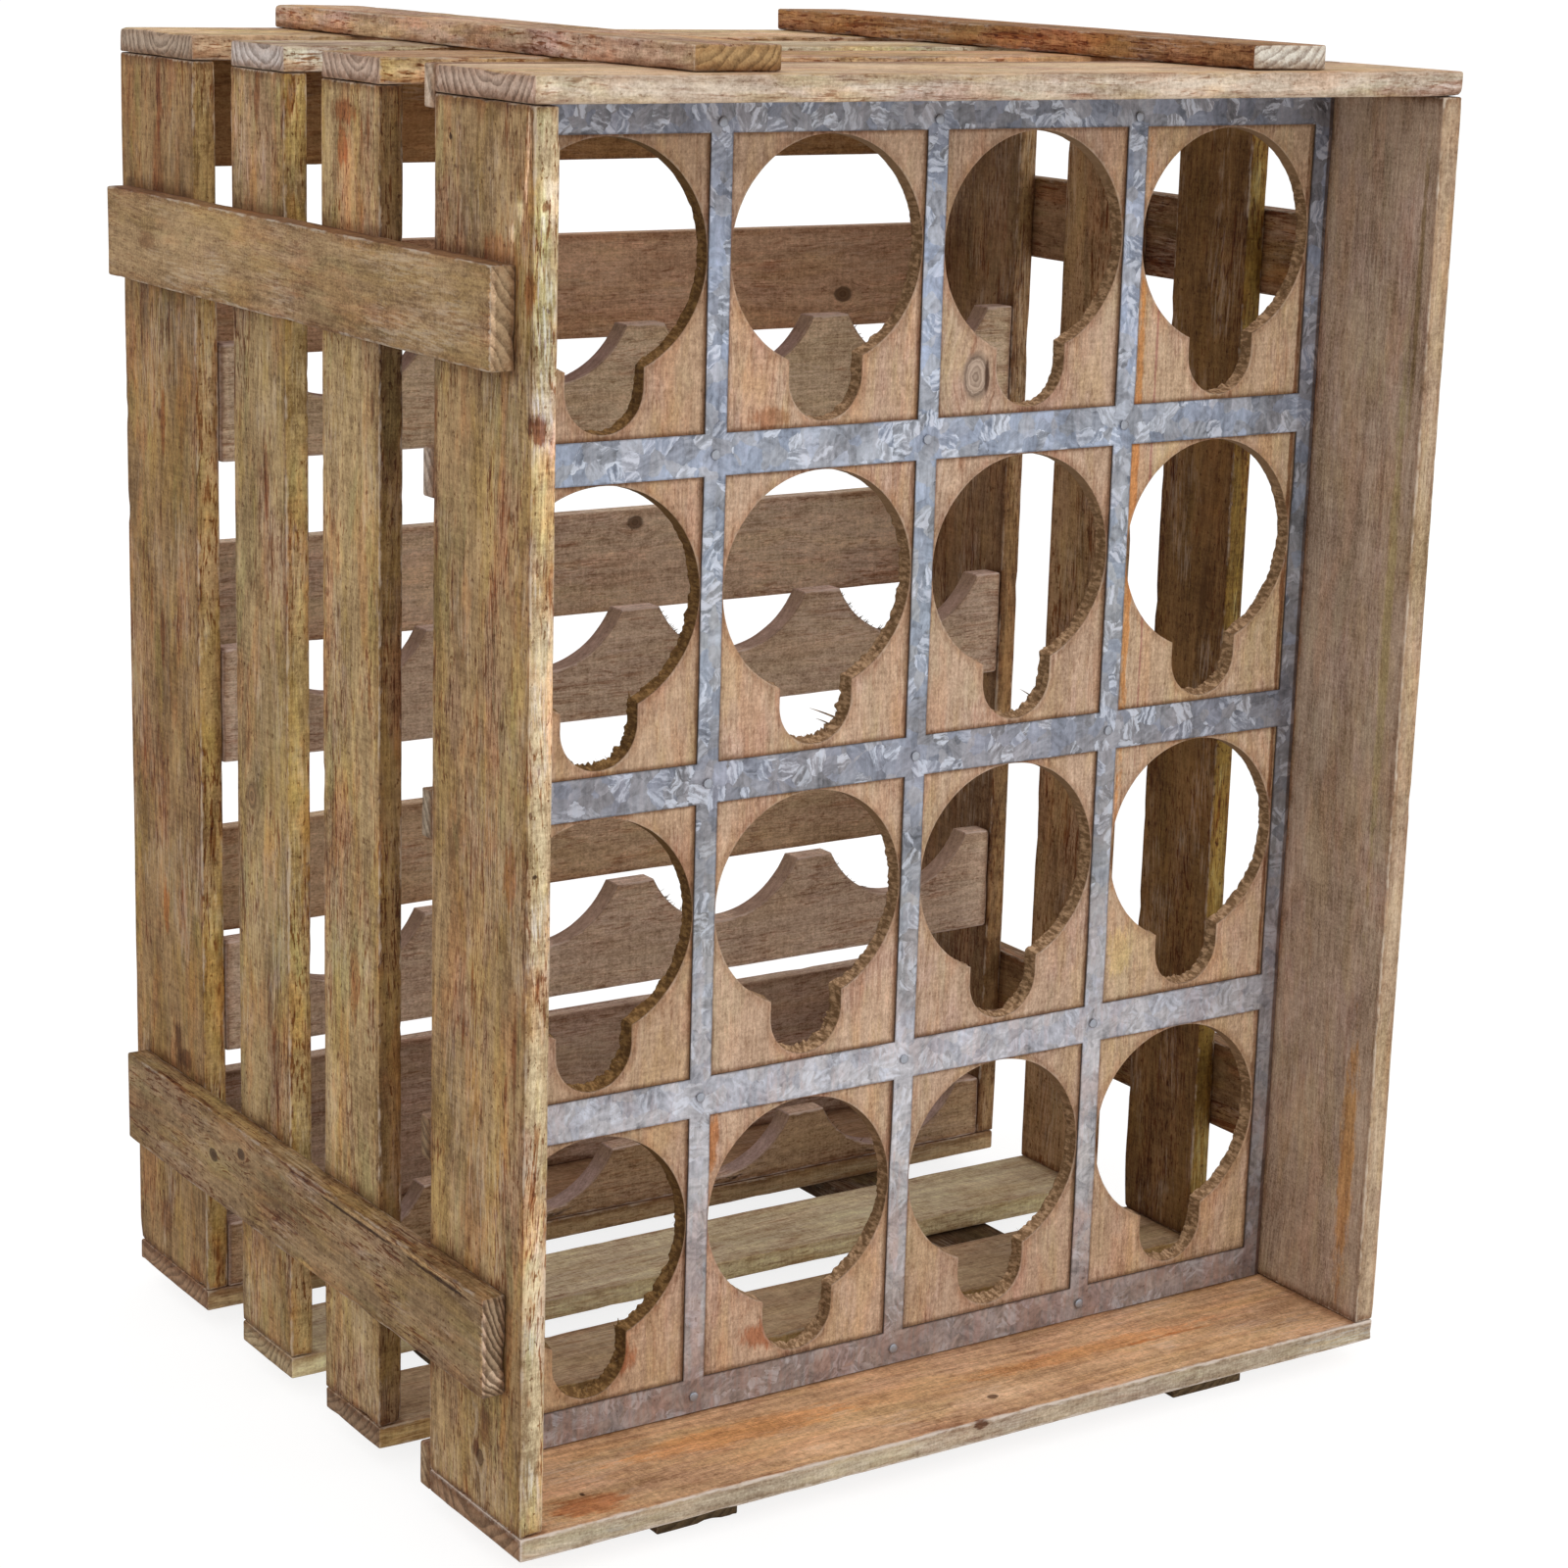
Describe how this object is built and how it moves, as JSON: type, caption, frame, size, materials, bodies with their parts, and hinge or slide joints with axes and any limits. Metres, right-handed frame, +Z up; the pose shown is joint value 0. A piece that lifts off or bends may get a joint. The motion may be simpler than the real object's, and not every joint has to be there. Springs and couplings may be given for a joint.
{
  "type": "wooden bottle rack",
  "caption": "Free-standing slatted wooden rack that holds bottles lying down in rows of keyholes behind a sheet metal grid, with scalloped rear supports.",
  "frame": {"origin": "on the surface that the rack stands on, under the middle of its bounding box", "axes": "+X to the right seen from the front, +Y to the rear, +Z up; the bottles go in along +Y"},
  "size_m": [0.4976, 0.3892, 0.6294],
  "materials": {
    "slat_wood": "old sawn wood, weathered, unvarnished",
    "batten_wood": "old sawn wood, weathered, unvarnished",
    "rail_wood": "old sawn wood, weathered, unvarnished",
    "board_wood": "old planed wood with rough cut edges",
    "dark_wood": "old sawn wood, darkened",
    "zinc_sheet": "galvanised sheet, dull, with spangle",
    "tack_steel": "dull steel"
  },
  "bodies": {
    "root": {"left_slat_front": "slat_wood", "right_slat_front": "slat_wood", "top_slat_front": "slat_wood", "bottom_slat_front": "slat_wood", "left_slat_second": "slat_wood", "right_slat_second": "slat_wood", "top_slat_second": "slat_wood", "bottom_slat_second": "slat_wood", "left_slat_third": "slat_wood", "right_slat_third": "slat_wood", "top_slat_third": "slat_wood", "bottom_slat_third": "slat_wood", "left_slat_rear": "slat_wood", "right_slat_rear": "slat_wood", "top_slat_rear": "slat_wood", "bottom_slat_rear": "slat_wood", "left_upper_batten": "batten_wood", "left_lower_batten": "batten_wood", "left_top_batten": "batten_wood", "left_foot": "batten_wood", "right_upper_batten": "batten_wood", "right_lower_batten": "batten_wood", "right_top_batten": "batten_wood", "right_foot": "batten_wood", "panel_rail_1": "rail_wood", "panel_rail_2": "rail_wood", "panel_rail_3": "rail_wood", "panel_rail_4": "rail_wood", "panel_rail_5": "rail_wood", "front_board_1": "board_wood", "front_board_2": "board_wood", "front_board_3": "board_wood", "front_board_4": "board_wood", "face_grid": "zinc_sheet", "grid_tack_1_1": "tack_steel", "grid_tack_1_2": "tack_steel", "grid_tack_1_3": "tack_steel", "grid_tack_1_4": "tack_steel", "grid_tack_1_5": "tack_steel", "grid_tack_2_1": "tack_steel", "grid_tack_2_2": "tack_steel", "grid_tack_2_3": "tack_steel", "grid_tack_2_4": "tack_steel", "grid_tack_2_5": "tack_steel", "grid_tack_3_1": "tack_steel", "grid_tack_3_2": "tack_steel", "grid_tack_3_3": "tack_steel", "grid_tack_3_4": "tack_steel", "grid_tack_3_5": "tack_steel", "bottle_support_1": "dark_wood", "bottle_support_2": "dark_wood", "bottle_support_3": "dark_wood", "bottle_support_4": "dark_wood", "back_board_1": "dark_wood", "back_board_2": "dark_wood", "back_board_3": "dark_wood", "back_board_4": "dark_wood", "back_board_5": "dark_wood"}
  },
  "joints": []
}
